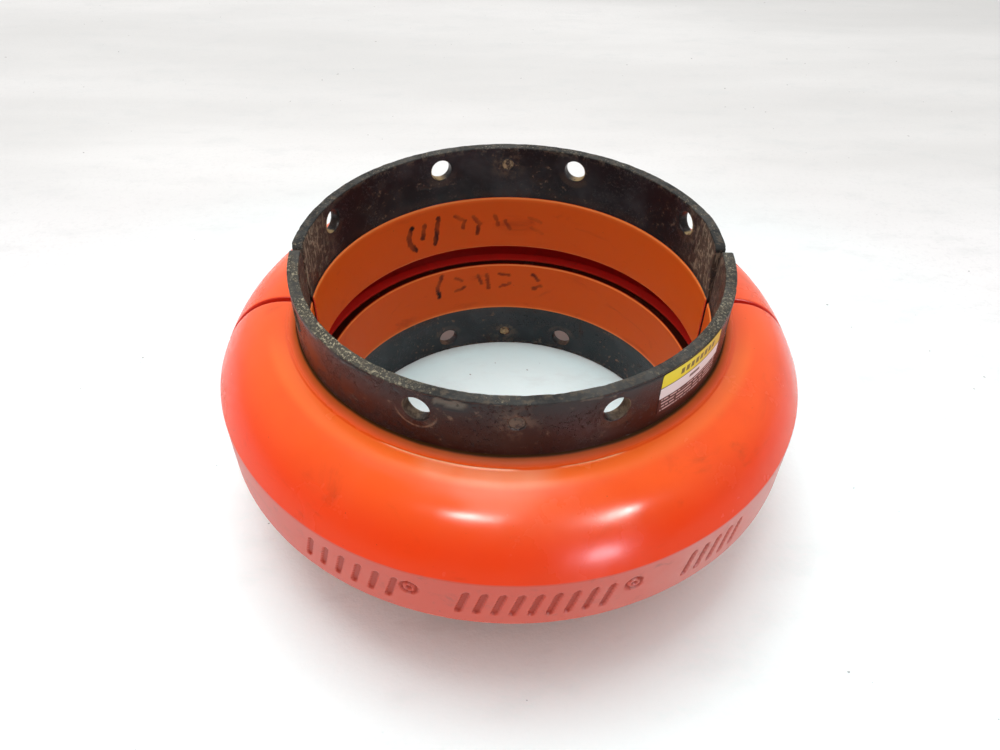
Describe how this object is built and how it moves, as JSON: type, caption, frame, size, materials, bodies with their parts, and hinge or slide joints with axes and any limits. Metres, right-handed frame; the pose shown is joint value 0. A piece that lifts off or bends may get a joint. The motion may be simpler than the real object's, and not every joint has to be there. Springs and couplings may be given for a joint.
{
  "type": "split flexible coupling element",
  "caption": "Split elastomer tyre bonded to half-round steel shoes, the flexible element that joins two shaft hubs.",
  "frame": {"origin": "centre of the element on the shaft axis", "axes": "+Z along the shaft axis towards the upper shoes; the halves part in the XZ plane; the half with the label is on the -Y side"},
  "size_m": [0.3556, 0.3556, 0.176],
  "materials": {
    "elastomer": "gloss",
    "shoe_steel": "worn satin",
    "plug": "matt",
    "label": "satin"
  },
  "bodies": {
    "lower_front": {"lower_shoe_front": "shoe_steel", "lower_plug_front": "plug"},
    "tyre_front": {"tyre_half_front": "elastomer"},
    "upper_front": {"upper_shoe_front": "shoe_steel", "upper_plug_front": "plug", "blank_label": "label"},
    "lower_back": {"lower_shoe_back": "shoe_steel", "lower_plug_back": "plug"},
    "tyre_back": {"tyre_half_back": "elastomer"},
    "upper_back": {"upper_shoe_back": "shoe_steel", "upper_plug_back": "plug"}
  },
  "joints": [
    {"name": "half_release", "type": "slide", "parent": "lower_front", "child": "lower_back", "axis": [0, 1, 0], "range_m": [0, 0.2]},
    {"name": "wind_up", "type": "hinge", "parent": "lower_front", "child": "tyre_front", "pos_m": [0, 0, 0], "axis": [0, 0, 1], "range_deg": [-5, 5], "deforming": ["tyre_half_front"]},
    {"name": "shaft_tilt", "type": "hinge", "parent": "tyre_front", "child": "upper_front", "pos_m": [0, 0, 0], "axis": [1, 0, 0], "range_deg": [-3, 3]},
    {"name": "wind_up_back", "type": "hinge", "parent": "lower_back", "child": "tyre_back", "pos_m": [0, 0, 0], "axis": [0, 0, 1], "range_deg": [-5, 5], "deforming": ["tyre_half_back"]},
    {"name": "shaft_tilt_back", "type": "hinge", "parent": "tyre_back", "child": "upper_back", "pos_m": [0, 0, 0], "axis": [1, 0, 0], "range_deg": [-3, 3]}
  ],
  "couplings": [
    {"joint": "wind_up_back", "follows": "wind_up", "ratio": 1},
    {"joint": "shaft_tilt_back", "follows": "shaft_tilt", "ratio": 1}
  ]
}
